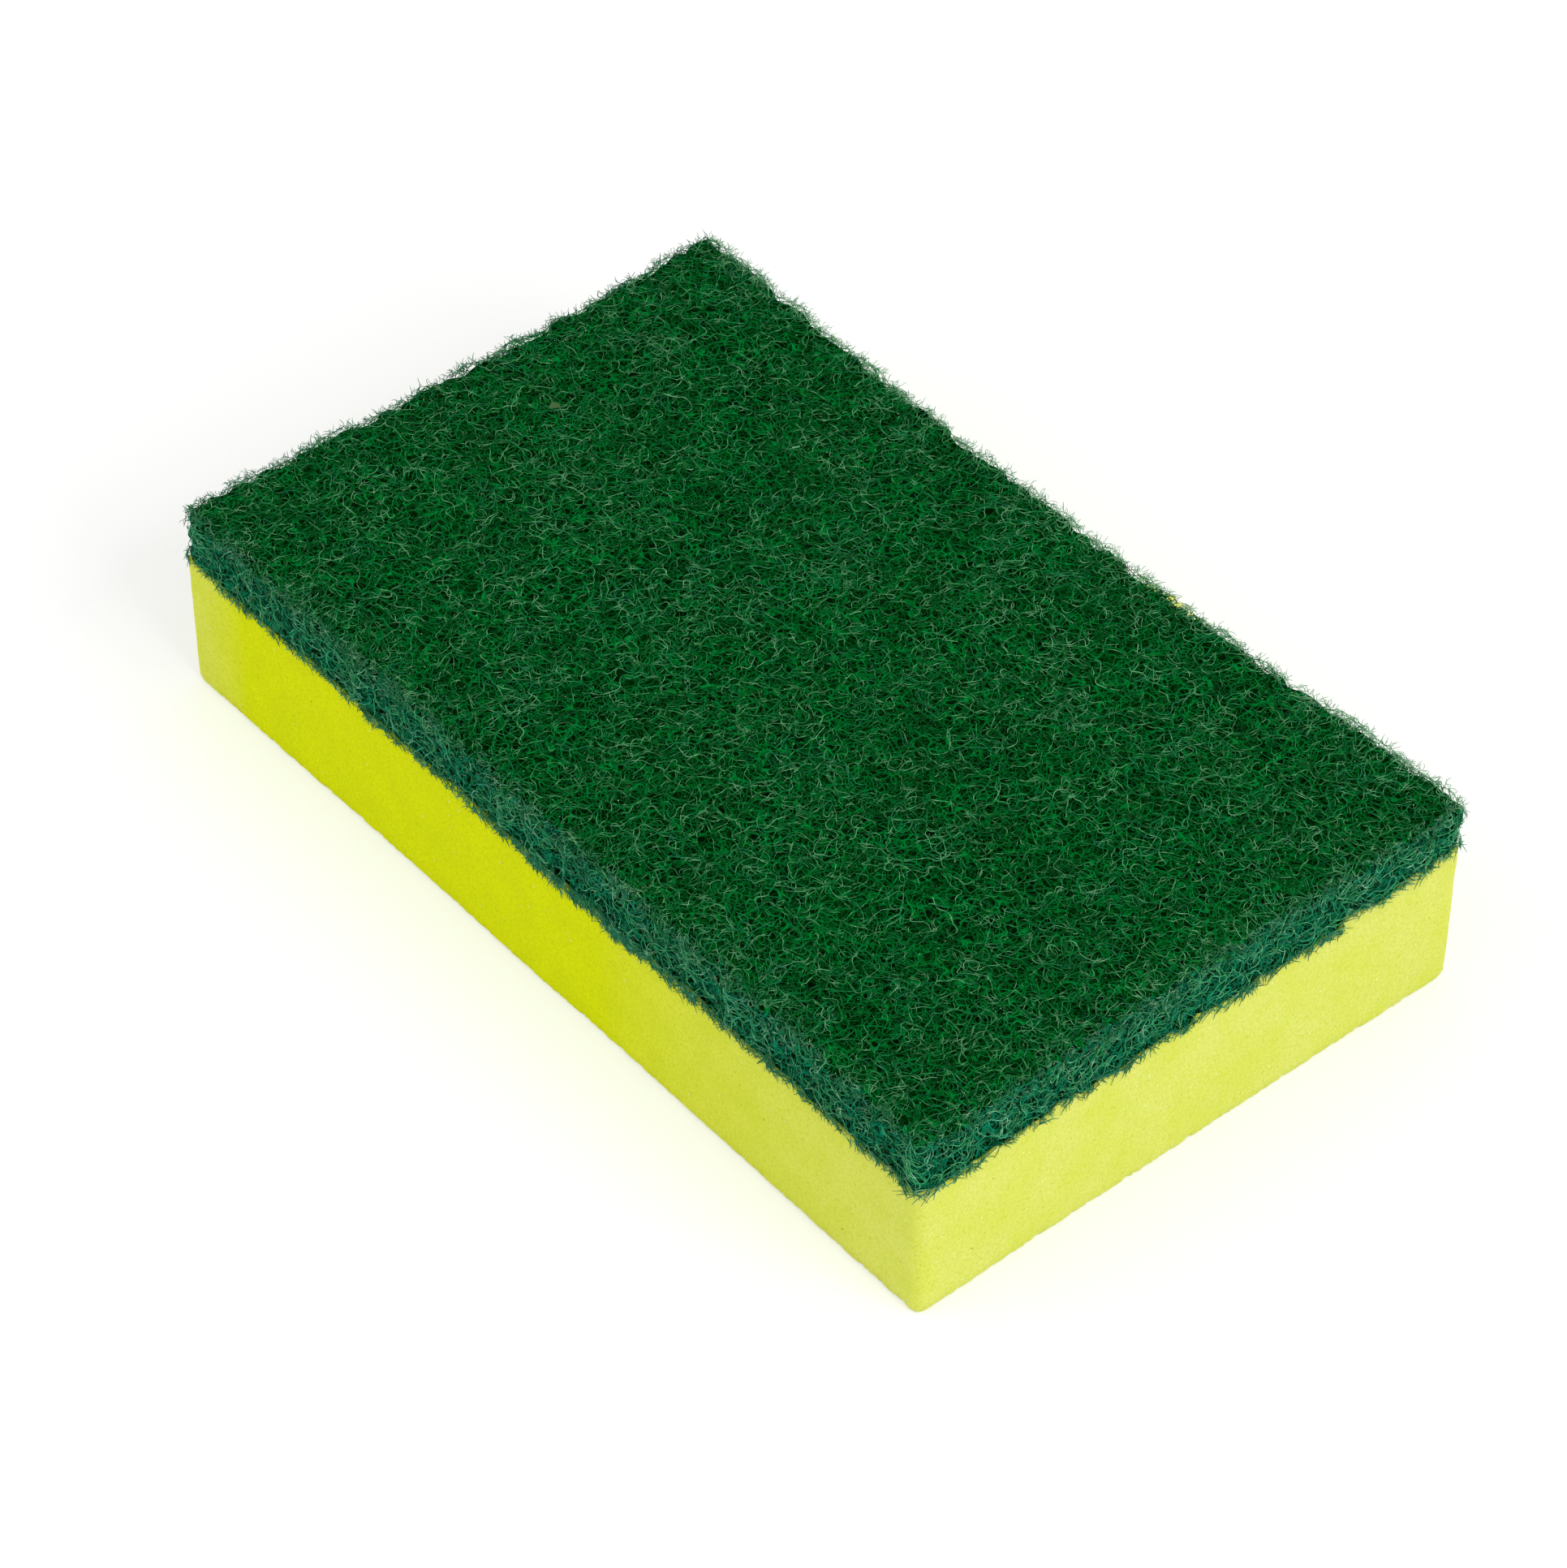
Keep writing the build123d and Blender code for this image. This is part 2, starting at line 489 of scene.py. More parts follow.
def lip(points):
    """How far the foam's edge shows above the glue line, all round the outline."""
    flat = np.column_stack([points, np.zeros(len(points))])
    rise = 0.1 + LIP_RISE_BACK * np.clip(points[:, 1] / HALF_WIDTH, 0, None)
    return np.clip(rise + 0.5 * octaves(ragged, flat, 2.4, 3), 0.0, 1.8)


def hang(points):
    """How far strands hang below the glue line: furthest near the middle of the front."""
    reach = np.exp(-(((points[:, 0] - FRONT_HANG_AT) / FRONT_HANG_REACH) ** 2))
    return FRONT_HANG * reach * (points[:, 1] < 2 - HALF_WIDTH)


def cell_relief(points):
    """The dents of cut cells and the slow waves that the saw leaves."""
    low_edge = np.exp(-np.clip(points[:, 2], 0, None) / 1.2)
    fine = -np.abs(relief(points, 0.8)) * (0.03 + 0.24 * low_edge)
    return fine + 0.025 * relief(points, 1.7) + 0.07 * octaves(swell, points, 16.0, 2) - 0.05


def make_foam():
    """The foam block: its sides up to the glue line, a closed top, and a coarser underside."""
    columns = len(RIM)
    rise = lip(RIM)
    side_inset, ring_inset, sheet_inset = UNDERSIDE_INSETS
    profile = [(side_inset, np.zeros(columns))]
    for angle in np.linspace(0, math.pi / 2, 6):
        r = FOAM_EDGE_RADIUS
        profile.append((r * (1 - math.sin(angle)), np.full(columns, r * (1 - math.cos(angle)))))
    for share in np.linspace(0, 1, FOAM_ROWS)[1:]:
        profile.append((0.0, FOAM_EDGE_RADIUS + share * (FOAM_TOP + rise - FOAM_EDGE_RADIUS)))
    profile.append((0.2, FOAM_TOP + rise + 0.1))
    profile.append((0.5, FOAM_TOP + rise * 0.9))
    profile.append((0.65, np.full(columns, FOAM_TOP)))
    points = []
    for inset, height in profile:
        points.append(np.column_stack([RIM - RIM_NORMAL * inset, height]))
    points = np.array(points)
    outward = np.zeros_like(points)
    outward[..., :2] = RIM_NORMAL
    outward[:3] *= np.array([0, 0.35, 0.7])[:, None, None]
    moved = cell_relief(points.reshape(-1, 3)).reshape(points.shape[:2])
    moved[-1] = 0
    points = points + outward * moved[..., None]
    points = points.reshape(-1, 3)
    quads = ring_faces(len(profile), columns)

    fine_flat, _, fine_border = grid_sheet(GRID_X, GRID_Y, ring_inset)
    half_ring = np.column_stack([fine_flat[fine_border], np.zeros(columns // 2)])
    flat, sheet, border = grid_sheet(GRID_X // 2, GRID_Y // 2, sheet_inset)
    low = np.column_stack([flat, np.zeros(len(flat))])
    low[:, 2] = np.clip(-1.3 * cell_relief(low), 0, 0.25)
    low[border, 2] = 0
    ring_start = len(points)
    sheet_start = ring_start + len(half_ring)
    half_row = ring_start + np.arange(len(half_ring))
    outer_seam = seam_faces(np.arange(columns), half_row)
    inner_seam = seam_faces(half_row, border + sheet_start)
    seams = np.concatenate([outer_seam, inner_seam])
    cap = (len(profile) - 1) * columns + np.arange(columns)[None, :]
    faces = [quads, sheet[:, ::-1] + sheet_start, seams[:, ::-1], cap]
    return mesh_object("foam", np.concatenate([points, half_ring, low]), faces)


# The pad


pits = Noise(21)
lofty = Noise(22)


def unworn(x, y):
    """From 0 to 1, how near a point is to the back rim, and by half to the left one."""
    back = np.clip(y / HALF_WIDTH, 0, 1) ** 6
    left = np.clip(-x / HALF_LENGTH, 0, 1) ** 8
    return np.maximum(back, 0.5 * left)


def flat_points(x, y):
    """Points at no height from arrays of any shape."""
    return np.column_stack([np.ravel(x), np.ravel(y), np.zeros(np.size(x))])


def rim_sway(x, y):
    """How far the loose rim leans out or in along the cut."""
    flat = flat_points(x, y)
    sway = np.clip(0.5 * octaves(lofty, flat + 50.0, 3.2, 3), -0.7, 0.8).reshape(np.shape(x))
    return sway + UNWORN_OUT * unworn(x, y)


def rim_radius(x, y):
    """The radius of the pad's worn rim: larger at the front, and a little larger at the right."""
    front = np.clip((-y - 26) / 14, 0, 1)
    right = np.clip((x - 50) / 18, 0, 1)
    wear_and_painted_highlight = np.maximum(front, 0.5 * right)
    return RIM_RADIUS + RIM_RADIUS_MORE * wear_and_painted_highlight - UNWORN_SHARPER * unworn(x, y)


def rim_drop(radius, depth):
    """How far the pad's rounded rim lies under its top, by the distance from the cut."""
    short = np.clip(radius - depth, 0, radius)
    return radius - np.sqrt(radius**2 - short**2)


def loose_top(x, y):
    """The slow unevenness of the pad's top, and the raggedness near its rim."""
    flat = flat_points(x, y)
    slow = 0.16 * lofty(flat, 9.0) + 0.18 * lofty(flat, 3.0) - 0.1
    near_rim = np.exp(-np.clip(depth_inside(x, y), 0, None) / 2.0)
    rough = 0.45 * octaves(pits, flat + 20.0, 2.4, 2).reshape(np.shape(x))
    return slow.reshape(np.shape(x)) + near_rim * (rough + UNWORN_UP * unworn(x, y))


def pad_surface(x, y):
    """The height of the pad's loose top."""
    depth = depth_inside(x, y) + rim_sway(x, y)
    return PAD_TOP + loose_top(x, y) - rim_drop(rim_radius(x, y), depth)


def make_core():
    """The deep part of the pad, which the strands lie on: closed, and uneven all over."""
    rim, rim_normal = RIM[::2], RIM_NORMAL[::2]
    columns = len(rim)
    radius = rim_radius(rim[:, 0], rim[:, 1])
    depth = np.full(columns, CORE_DEPTH)
    straight = PAD_TOP - radius - FOAM_TOP
    profile = [(depth, FOAM_TOP + share * straight) for share in np.linspace(0, 1, 10)]
    for turn in np.radians((22, 45, 68)):
        reach = radius - CORE_DEPTH
        profile.append((radius - reach * math.cos(turn), PAD_TOP - radius + reach * math.sin(turn)))
    points = []
    for row, (inset, height) in enumerate(profile):
        ring = np.column_stack([rim - rim_normal * inset[:, None], height])
        sideways = 0.5 * octaves(pits, ring, 2.0, 2) + rim_sway(ring[:, 0], ring[:, 1]) - 0.1
        above_lip = np.clip((height - FOAM_TOP - lip(rim)) / 1.2, 0, 1)
        sideways = np.clip(sideways, -0.55, 0.45) * above_lip - 0.15 * (1 - above_lip)
        if row > 0:
            ring[:, :2] += rim_normal * sideways[:, None]
        points.append(ring)
    points = np.concatenate(points)
    quads = ring_faces(len(profile), columns)
    flat, sheet, border = grid_sheet(GRID_X, GRID_Y, RIM_RADIUS + RIM_RADIUS_MORE + 0.1)
    base = np.column_stack([flat, np.zeros(len(flat))])
    uneven = 0.35 * octaves(pits, base, 2.6, 3) - 0.3 * np.clip(pits(base + 31.0, 2.0), 0, None)
    height = pad_surface(flat[:, 0], flat[:, 1]) - CORE_DEPTH + uneven
    base[:, 2] = np.minimum(height, PAD_TOP - 0.4)
    start = len(points)
    last = (len(profile) - 1) * columns + np.arange(columns)
    after = np.roll(np.arange(columns), -1)
    seam = np.stack([last, last[after], (border + start)[after], border + start], axis=1)
    cap = np.arange(columns)[::-1][None, :]
    faces = [quads, sheet + start, seam, cap]
    return mesh_object("pad_core", np.concatenate([points, base]), faces)


# Strands


def tubes(name, paths, valid, radius):
    """Closed tubes along paths (strand, point, 3), each on its unbroken run of valid points."""
    middle = paths.shape[1] // 2
    ahead = np.logical_and.accumulate(valid[:, middle:], axis=1)
    behind = np.logical_and.accumulate(valid[:, middle::-1], axis=1)[:, ::-1]
    valid = np.concatenate([behind[:, :-1], ahead], axis=1)
    keep = valid.sum(axis=1) >= 3
    paths, valid, radius = paths[keep], valid[keep], radius[keep]
    count, length = valid.shape

    step = np.empty_like(paths)
    step[:, 1:-1] = paths[:, 2:] - paths[:, :-2]
    step[:, 0] = paths[:, 1] - paths[:, 0]
    step[:, -1] = paths[:, -1] - paths[:, -2]
    step /= np.linalg.norm(step, axis=2, keepdims=True) + 1e-12
    # Each ring's axes follow from those of the ring before, so that no tube twists
    side = np.cross(step[:, 0], (0.31, 0.17, 0.93))
    sides = np.empty_like(paths)
    for k in range(length):
        side = side - step[:, k] * (side * step[:, k]).sum(axis=1, keepdims=True)
        side /= np.linalg.norm(side, axis=1, keepdims=True) + 1e-12
        sides[:, k] = side
    other = np.cross(step, sides)

    first = valid.argmax(axis=1)
    last = length - 1 - valid[:, ::-1].argmax(axis=1)
    place = np.arange(length)[None, :]
    to_end = np.minimum(place - first[:, None], last[:, None] - place)
    thick = radius[:, None] * np.clip(0.55 + 0.45 * to_end, 0.3, 1.0)

    angles = np.arange(STRAND_SIDES) * 2 * math.pi / STRAND_SIDES
    rings = (
        paths[:, :, None, :]
        + np.cos(angles)[None, None, :, None] * sides[:, :, None, :] * thick[:, :, None, None]
        + np.sin(angles)[None, None, :, None] * other[:, :, None, :] * thick[:, :, None, None]
    )
    number = np.full(valid.shape, -1)
    number[valid] = np.arange(valid.sum()) * STRAND_SIDES
    points = rings[valid].reshape(-1, 3)
    joined = valid[:, :-1] & valid[:, 1:]
    here, there = number[:, :-1][joined], number[:, 1:][joined]
    quads = []
    for k in range(STRAND_SIDES):
        after = (k + 1) % STRAND_SIDES
        quads.append(np.stack([here + k, here + after, there + after, there + k], axis=1))
    rows = np.arange(count)
    start, end = number[rows, first], number[rows, last]
    corners = np.arange(STRAND_SIDES)
    caps = np.concatenate([start[:, None] + corners[::-1], end[:, None] + corners])
    return mesh_object(name, points, [np.concatenate(quads), caps])


def crimped(rng, count, length, heading, strength=1.0):
    """Flat wavy paths: the heading swings to and fro at two wavelengths and drifts."""
    steps = round(length / FINE_STEP)
    s = np.arange(steps + 1) * FINE_STEP
    turned = heading[:, None] + np.zeros(steps + 1)
    for wave_least, wave_most, swing_least, swing_most in CRIMPS:
        wave = rng.uniform(wave_least, wave_most, (count, 1))
        phase = rng.uniform(0, 2 * math.pi, (count, 1))
        swing = rng.uniform(swing_least, swing_most, (count, 1)) * strength
        turned = turned + swing * np.sin(2 * math.pi * s / wave + phase)
    turned = turned + rng.normal(0, 0.3, (count, 1)) * s * strength
    dx = np.cumsum(np.cos(turned), axis=1) * FINE_STEP
    dy = np.cumsum(np.sin(turned), axis=1) * FINE_STEP
    middle = steps // 2
    return dx - dx[:, middle : middle + 1], dy - dy[:, middle : middle + 1], turned


def waves(rng, count, points, least, most, amplitude):
    """A slow wave along each path, for weaving over and under."""
    s = np.arange(points) * FINE_STEP
    wave = rng.uniform(least, most, (count, 1))
    phase = rng.uniform(0, 2 * math.pi, (count, 1))
    return amplitude * rng.uniform(0.4, 1.0, (count, 1)) * np.sin(2 * math.pi * s / wave + phase)


def thinned(paths, valid, turned, points):
    """Fewer points on each path, close together in the curls and far apart on the straights."""
    cost = np.abs(np.diff(turned, axis=1)) + STRAIGHT_COST * FINE_STEP
    cost = np.concatenate([np.zeros((len(cost), 1)), np.cumsum(cost, axis=1)], axis=1)
    place = np.arange(paths.shape[1])
    fewer = np.empty((len(paths), points, 3))
    kept = np.empty((len(paths), points), bool)
    for row, total in enumerate(cost):
        at = np.interp(np.linspace(0, total[-1], points), total, place)
        low = np.minimum(at.astype(int), len(place) - 2)
        part = (at - low)[:, None]
        fewer[row] = paths[row, low] * (1 - part) + paths[row, low + 1] * part
        kept[row] = valid[row, low] & valid[row, low + 1]
    return fewer, kept


def over_rim(x, y, depth):
    """Folds flat points round the pad's rounded rim, at a depth under its loose surface."""
    inside = depth_inside(x, y)
    nudge = 0.05
    out_x = -(depth_inside(x + nudge, y) - depth_inside(x - nudge, y)) / (2 * nudge)
    out_y = -(depth_inside(x, y + nudge) - depth_inside(x, y - nudge)) / (2 * nudge)
    radius = rim_radius(x, y)
    turn = np.clip((radius - inside) / radius, 0, math.pi / 2)
    past = np.clip(-inside - radius * (math.pi / 2 - 1), 0, None)
    reach = radius - depth
    inset = np.where(turn > 0, radius - reach * np.sin(turn), inside)
    shift = inside - inset + rim_sway(x, y) * np.sin(turn)
    z = np.where(turn > 0, -radius + reach * np.cos(turn) - past, -depth)
    return x + out_x * shift, y + out_y * shift, z, inside


def top_strands(name, seed, count, shallowest, deepest, weave, radius):
    """Strands of the loose top, between two depths under its surface."""
    rng = np.random.default_rng(seed)
    x0 = rng.uniform(-HALF_LENGTH - 1, HALF_LENGTH + 1, count)
    y0 = rng.uniform(-HALF_WIDTH - 1, HALF_WIDTH + 1, count)
    thin = pits(np.column_stack([x0, y0, np.full(count, 9.0)]), 2.6)
    keep = thin + rng.uniform(-0.9, 0.9, count) > -0.6
    at_rim, out_of_rim = on_rim(rng.uniform(0, RIM_LENGTH, round(RIM_SHARE * count)))
    at_rim = at_rim - out_of_rim * rng.uniform(0.0, 2.2, (len(at_rim), 1))
    x0, y0 = np.concatenate([x0[keep], at_rim[:, 0]]), np.concatenate([y0[keep], at_rim[:, 1]])
    count = len(x0)
    heading = rng.uniform(0, 2 * math.pi, count)
    dx, dy, turned = crimped(rng, count, TOP_STRAND_LENGTH, heading)
    x, y = x0[:, None] + dx, y0[:, None] + dy
    depth = rng.uniform(shallowest, deepest, (count, 1))
    depth = np.maximum(depth + waves(rng, count, x.shape[1], 2.6, 6.0, weave), 0.0)
    edge_x, edge_y, drop, inside = over_rim(x, y, depth)
    z = PAD_TOP + loose_top(x, y) + drop
    valid = inside > -rng.uniform(0.3, 2.6, (count, 1))
    path = np.stack([edge_x, edge_y, z], axis=-1)
    path, valid = thinned(path, valid, turned, TOP_STRAND_POINTS)
    return tubes(name, path, valid, rng.uniform(0.8, 1.2, count) * radius)


def side_strands(name, seed, count, radius):
    """Strands that show on the cut sides: short, and lying mostly along the layers."""
    rng = np.random.default_rng(seed)
    at0 = rng.uniform(0, RIM_LENGTH, count)
    z0 = rng.uniform(FOAM_TOP - 0.2, PAD_TOP - 0.6, count)
    heading = rng.normal(0, 0.6, count) + math.pi * rng.integers(0, 2, count)
    du, dz, turned = crimped(rng, count, SIDE_STRAND_LENGTH, heading, 0.9)
    at, z = at0[:, None] + du, z0[:, None] + dz
    place, normal = on_rim(at)
    out = -rng.uniform(0.0, 0.6, (count, 1)) + waves(rng, count, at.shape[1], 2.5, 6.0, 0.25)
    rounding = rim_radius(place[..., 0], place[..., 1])
    out = np.minimum(out, 0.12) - rim_drop(rounding, PAD_TOP - z) * 0.9
    out = out + rim_sway(place[..., 0], place[..., 1]) * np.clip((z - FOAM_TOP) / 2.0, 0, 1)
    edge = lip(place.reshape(-1, 2)).reshape(at.shape)
    out = np.where(z < FOAM_TOP + edge + 0.1, np.maximum(out, 0.14), out)
    low = 0.6 * hang(place.reshape(-1, 2)).reshape(at.shape)
    low = low + rng.uniform(-0.4, 0.5, (count, 1))
    valid = (z < PAD_TOP - rng.uniform(0.3, 1.0, (count, 1))) & (z > FOAM_TOP + edge - low)
    path = np.concatenate([place + normal * out[..., None], z[..., None]], axis=-1)
    path, valid = thinned(path, valid, turned, SIDE_STRAND_POINTS)
    return tubes(name, path, valid, rng.uniform(0.8, 1.2, count) * radius)


def fuzz_strands(name, seed, count, reach, radius, lean):
    """Short loops that stand out of the rim and sides."""
    rng = np.random.default_rng(seed)
    at0 = rng.uniform(0, RIM_LENGTH, count)
    place, normal = on_rim(at0)
    along = np.stack([-normal[:, 1], normal[:, 0]], axis=1)
    z0 = PAD_TOP - 0.1 - (PAD_TOP - FOAM_TOP - 1.6) * rng.uniform(0, 1, count) ** 1.6
    rounding = rim_radius(place[:, 0], place[:, 1])
    inset = 0.2 + rim_drop(rounding, PAD_TOP - z0) - rim_sway(place[:, 0], place[:, 1])
    on_top = rng.uniform(0, 1, count) < FUZZ_SHARE_ON_TOP
    inset = np.where(on_top, rng.uniform(0.0, 1.3, count), inset)
    foot = place - normal * inset[:, None]
    z0 = np.where(on_top, pad_surface(foot[:, 0], foot[:, 1]) - 0.15, z0)
    axes = np.zeros((count, 3, 3))
    axes[:, 0, :2] = normal
    axes[:, 1, :2] = along
    axes[:, 2, 2] = 1
    outwards = rng.uniform(0.2, 1.0, count)
    sideways = rng.uniform(-1.3, 1.3, count)
    aim = np.column_stack([outwards, sideways, rng.normal(lean, 0.4, count)])
    aim /= np.linalg.norm(aim, axis=1, keepdims=True)
    turn_axis = rng.normal(0, 1, (count, 3))
    turn_axis /= np.linalg.norm(turn_axis, axis=1, keepdims=True)
    turn = rng.uniform(0.4, 1.0, (count, 1))
    size = rng.uniform(0.6, 1.3, (count, 1)) * reach
    local = [np.zeros((count, 3))]
    for _ in range(FUZZ_POINTS - 1):
        local.append(local[-1] + aim * size)
        aim = aim + np.cross(turn_axis, aim) * turn
        aim /= np.linalg.norm(aim, axis=1, keepdims=True)
    local = np.stack(local, axis=1)
    start = np.column_stack([foot, z0])
    path = start[:, None, :] + np.einsum("npk,nkc->npc", local, axes)
    valid = np.ones((count, FUZZ_POINTS), bool)
    return tubes(name, path, valid, rng.uniform(0.75, 1.1, count) * radius)


def joint_stubs(name, seed, count, radius):
    """Short ends of strands that start in the pad and hang over the glue line in tufts."""
    rng = np.random.default_rng(seed)
    at0 = rng.uniform(0, RIM_LENGTH, count)
    in_front = rng.uniform(0, 1, count) < STUB_SHARE_IN_FRONT
    at_front = HALF_LENGTH + rng.normal(FRONT_HANG_AT, FRONT_HANG_REACH / 1.6, count)
    at0 = np.where(in_front, at_front, at0)
    place, normal = on_rim(at0)
    along = np.stack([-normal[:, 1], normal[:, 0]], axis=1)
    tuft = octaves(ragged, flat_points(place[:, 0], place[:, 1]) + 80.0, 1.6, 2)
    glue = FOAM_TOP + lip(place)
    end = glue + 0.3 - 1.1 * rng.uniform(0, 1, count) ** 1.6
    end = end - 0.55 * np.clip(tuft, -0.7, 1.2) - hang(place) * rng.uniform(0.2, 1.2, count)
    foot = np.maximum(glue + 0.4, end + 0.5) + rng.uniform(0, 0.6, count)
    slant = rng.normal(0, 1.1, count)
    curl = rng.normal(0, 0.5, count)
    path = []
    for share in np.linspace(0, 1, STUB_POINTS):
        height = foot + (end - foot) * share
        sideways = slant * np.clip(foot - end, 0, 1.2) * share
        sideways = sideways + curl * np.sin(1.7 * math.pi * share)
        out = 0.28 * share - 0.13 * (1 - share)
        out = np.where(height < glue + 0.15, np.maximum(out, 0.1), out)
        xy = place + along * sideways[:, None] + normal * out[:, None]
        path.append(np.column_stack([xy, height]))
    valid = np.ones((count, STUB_POINTS), bool)
    return tubes(name, np.stack(path, axis=1), valid, rng.uniform(0.8, 1.2, count) * radius)


# Grains of resin and foam, and scraps of film


def grains(name, seed, places, sizes):
    """Small closed lumps, each stretched and turned in its own way."""
    rng = np.random.default_rng(seed)
    count = len(places)
    corners = np.stack([np.eye(3), -np.eye(3)], axis=1).reshape(6, 3)
    high = [(0, 2, 4), (2, 1, 4), (1, 3, 4), (3, 0, 4)]
    low = [(2, 0, 5), (1, 2, 5), (3, 1, 5), (0, 3, 5)]
    sides = np.array(high + low)
    lumps = corners * (rng.uniform(0.6, 1.3, (count, 1, 3)) * np.reshape(sizes, (count, 1, 1)))
    angle = rng.uniform(0, 2 * math.pi, (count, 1))
    x, y, z = lumps[..., 0], lumps[..., 1], lumps[..., 2]
    x, y = x * np.cos(angle) - y * np.sin(angle), x * np.sin(angle) + y * np.cos(angle)
    points = np.stack([x, y, z], axis=-1) + np.asarray(places)[:, None, :]
    faces = sides[None] + 6 * np.arange(count)[:, None, None]
    return mesh_object(name, points.reshape(-1, 3), [faces.reshape(-1, 3)])


def resin_grains(name, seed, count):
    """Beads of resin that cling where strands cross near the top."""
    rng = np.random.default_rng(seed)
    x = rng.uniform(-HALF_LENGTH, HALF_LENGTH, count)
    y = rng.uniform(-HALF_WIDTH, HALF_WIDTH, count)
    inside = depth_inside(x, y) > 0.8
    x, y = x[inside], y[inside]
    z = pad_surface(x, y) - rng.uniform(0.0, 0.2, len(x))
    return grains(name, seed + 1, np.column_stack([x, y, z]), rng.uniform(0.05, 0.11, len(x)))


def foam_grains(name, seed, count):
    """Foam crumbs caught in the fringe of the back rim."""
    rng = np.random.default_rng(seed)
    x = rng.normal(CRUMBS_AT, 3.0, count)
    inset = rng.uniform(-0.7, 1.0, count)
    y = HALF_WIDTH - BOW_BACK * (1 - (x / HALF_LENGTH) ** 2) - inset
    z = PAD_TOP - 0.35 - rim_drop(RIM_RADIUS, inset) * 0.8 + rng.uniform(-0.2, 0.25, count)
    return grains(name, seed + 1, np.column_stack([x, y, z]), rng.uniform(0.1, 0.3, count))


def film_flake(name, corners, thick):
    """A thin closed film between strands, from its corners on the pad's top."""
    corners = np.array(corners)
    lift = pad_surface(corners[:, 0], corners[:, 1]) + np.linspace(0.0, 0.12, len(corners))
    low = np.column_stack([corners, lift])
    high = low + (0, 0, thick)
    count = len(corners)
    here = np.arange(count)
    after = np.roll(here, -1)
    sides = np.stack([here, after, after + count, here + count], axis=1)
    faces = [sides, here[::-1][None, :], (here + count)[None, :]]
    made = mesh_object(name, np.concatenate([low, high]), faces)
    made.data.shade_flat()
    return made


# Everything in place


foam = make_foam()
foam.data.materials.append(foam_material())
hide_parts("foam_block")
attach(foam, "root")

core = make_core()
core.data.materials.append(core_material())

webs = [
    (top_strands("web_low", 101, 2500, 0.25, 0.6, 0.3, 0.058), "web_painted_shade_green"),
    (top_strands("web_mid", 102, 2620, 0.12, 0.4, 0.28, 0.054), "web_green"),
    (top_strands("web_high", 103, 2660, 0.05, 0.25, 0.26, 0.05), "web_green"),
    (side_strands("web_cut_side", 104, 2440, 0.06), "web_cut_teal"),
    (fuzz_strands("web_fuzz", 105, 5600, 0.37, 0.048, 0.32), "web_fringe"),
    (joint_stubs("web_stubs", 106, 2700, 0.056), "web_stub_teal"),
    (resin_grains("web_resin", 107, 1900), "resin_pale"),
    (foam_grains("web_foam_crumbs", 109, 80), "crumb_yellow"),
    (film_flake("web_flake", FLAKE, 0.05), "film_grey"),
    (film_flake("web_sliver", SLIVER, 0.08), "resin_pale"),
]
tones = {name: strand_material(name) for name in STRAND_TONES}
for piece, tone in webs:
    piece.data.materials.append(tones[tone])
for piece in [core] + [web for web, tone in webs]:
    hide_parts("scouring_pad")
    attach(piece, "root")


# Floor, light and camera

FLOOR_TONE = (0.72, 0.72, 0.72, 1)
FLOOR_GLOW = 0.4


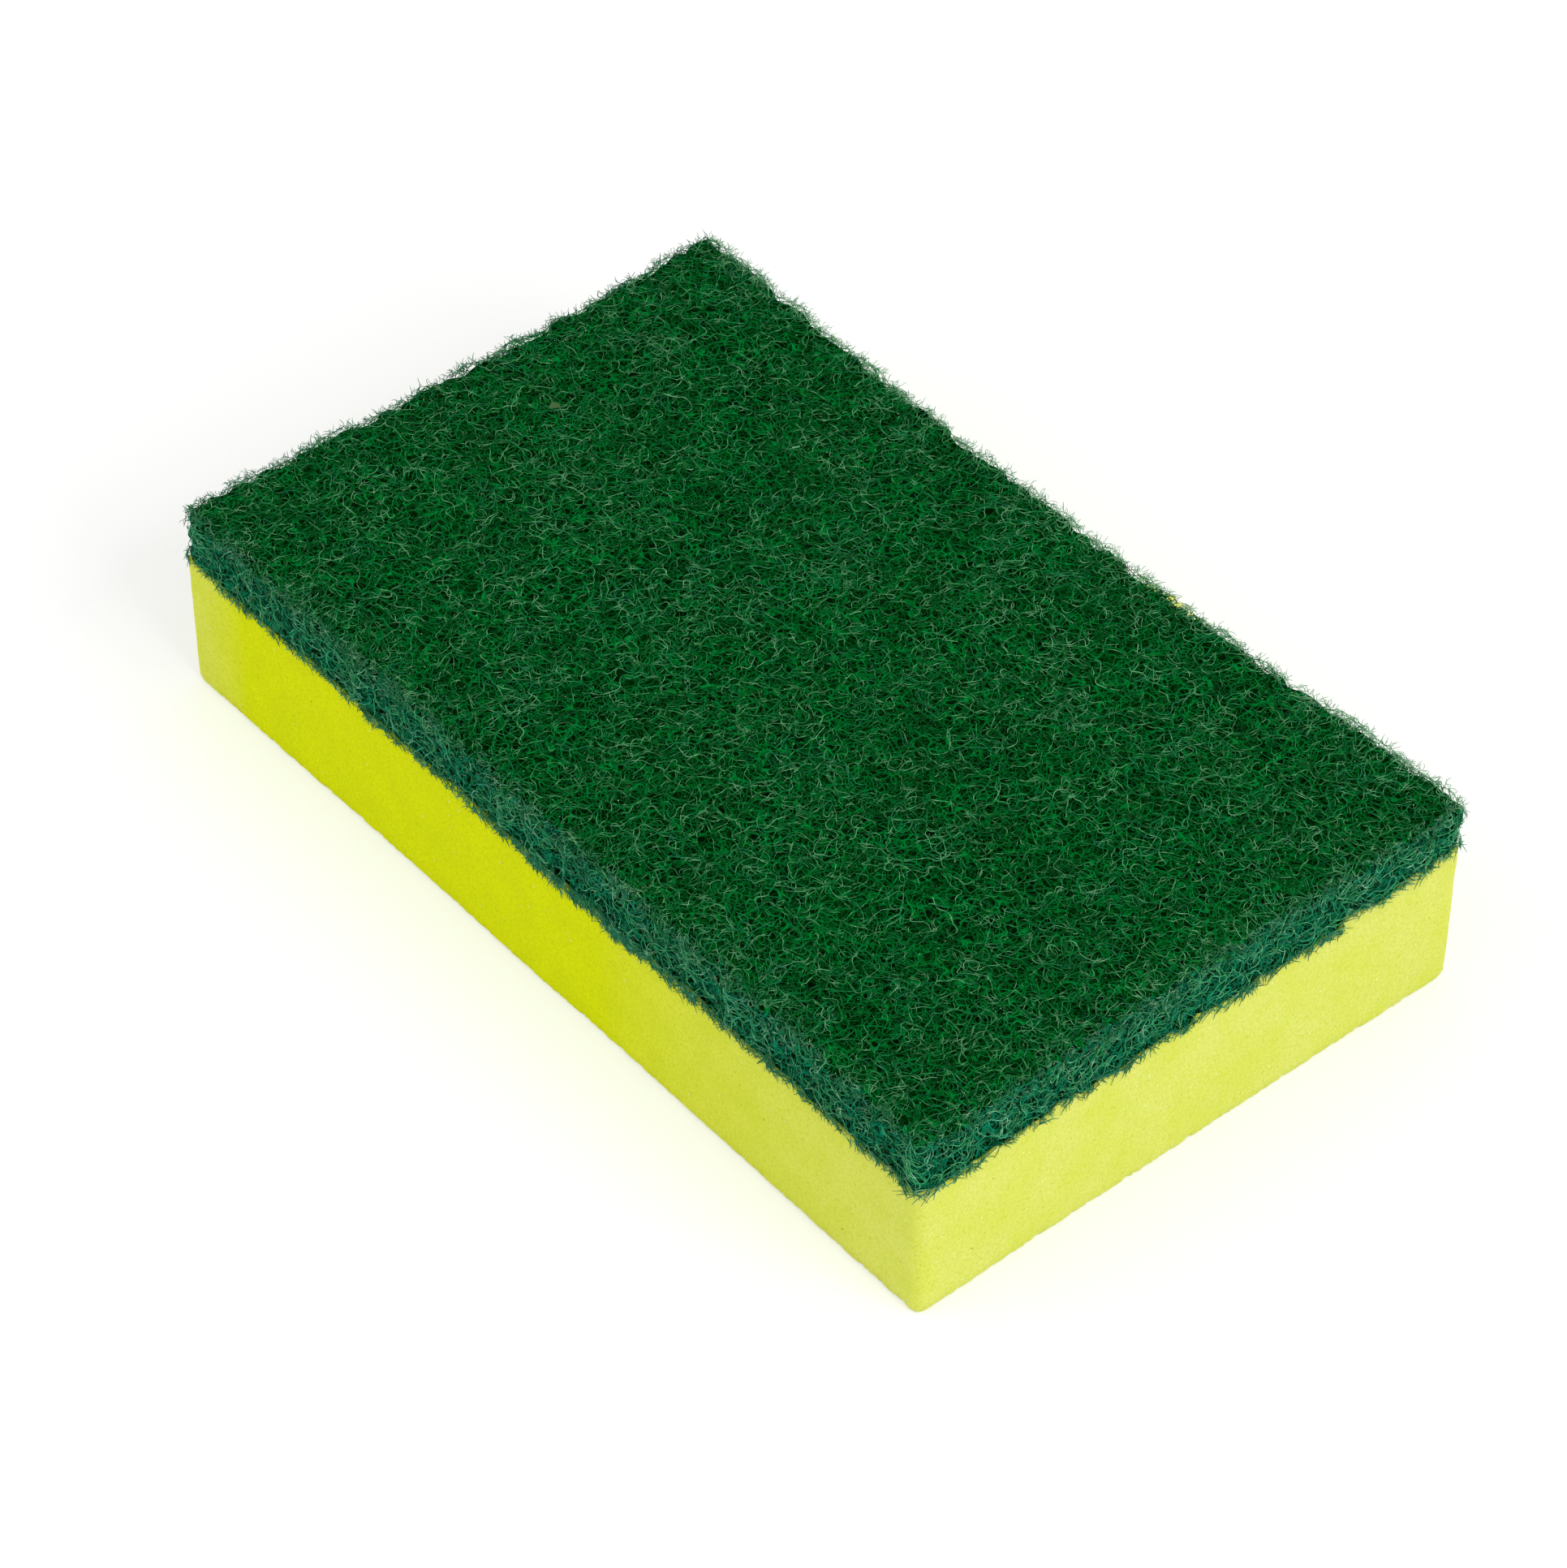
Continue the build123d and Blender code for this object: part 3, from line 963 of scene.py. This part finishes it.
def stage_white():
    """A white floor that keeps its shadow, and is white where the light falls off."""
    material = bpy.data.materials.new("floor_white")
    material.use_nodes = True
    tree = material.node_tree
    tree.nodes.clear()

    def joined(kind, first, second, operation=None):
        made = tree.nodes.new(kind)
        if operation is not None:
            made.operation = operation
        tree.links.new(first, made.inputs[0])
        tree.links.new(second, made.inputs[1])
        return made.outputs[0]

    path = tree.nodes.new("ShaderNodeLightPath").outputs
    strength = tree.nodes.new("ShaderNodeValue").outputs[0]
    strength.default_value = FLOOR_GLOW
    seen = joined("ShaderNodeMath", path["Is Camera Ray"], path["Is Glossy Ray"], "MAXIMUM")
    seen = joined("ShaderNodeMath", seen, path["Is Transmission Ray"], "MAXIMUM")
    white = tree.nodes.new("ShaderNodeBsdfDiffuse")
    white.inputs["Color"].default_value = FLOOR_TONE
    glow = tree.nodes.new("ShaderNodeEmission")
    tree.links.new(joined("ShaderNodeMath", seen, strength, "MULTIPLY"), glow.inputs["Strength"])
    out = tree.nodes.new("ShaderNodeOutputMaterial")
    both = joined("ShaderNodeAddShader", white.outputs[0], glow.outputs[0])
    tree.links.new(both, out.inputs["Surface"])
    return material


floor_mesh = bpy.data.meshes.new("floor")
floor_mesh.from_pydata([(-4, -4, 0), (4, -4, 0), (4, 4, 0), (-4, 4, 0)], [], [(0, 1, 2, 3)])
floor = bpy.data.objects.new("floor", floor_mesh)
bpy.context.scene.collection.objects.link(floor)
floor_mesh.materials.append(stage_white())

world = bpy.data.worlds.new("studio")
bpy.context.scene.world = world
world.use_nodes = True
sky = world.node_tree.nodes["Background"]
sky.inputs["Color"].default_value = (1, 1, 1, 1)
sky.inputs["Strength"].default_value = 0.6


def softbox(name, place, size, power):
    """A square lamp that faces the object."""
    lamp = bpy.data.lights.new(name, "AREA")
    lamp.size = size
    lamp.energy = power
    made = bpy.data.objects.new(name, lamp)
    bpy.context.scene.collection.objects.link(made)
    made.location = place
    made.rotation_mode = "QUATERNION"
    made.rotation_quaternion = (-Vector(place)).to_track_quat("-Z", "Y")


softbox("key", (0.75, 0.05, 0.6), 0.6, 4.0)
softbox("fill", (-0.35, -0.7, 0.75), 0.8, 2.2)

camera = bpy.data.objects.new("camera", bpy.data.cameras.new("camera"))
bpy.context.scene.collection.objects.link(camera)
camera.data.sensor_width = 36.0
camera.data.lens = 124.75553
camera.data.clip_start = 0.01
camera.data.clip_end = 20.0
right = Vector((0.64376637, 0.76521794, 0.00252199))
up = Vector((-0.53228187, 0.44542809, 0.7199096))
back = Vector((0.54976437, -0.464796, 0.69406326))
camera.matrix_world = Matrix.Translation((0.366168553, -0.313014861, 0.470798768)) @ Matrix(
    (right, up, back)
).transposed().to_4x4()
bpy.context.scene.camera = camera

bpy.context.scene.view_settings.view_transform = "Standard"
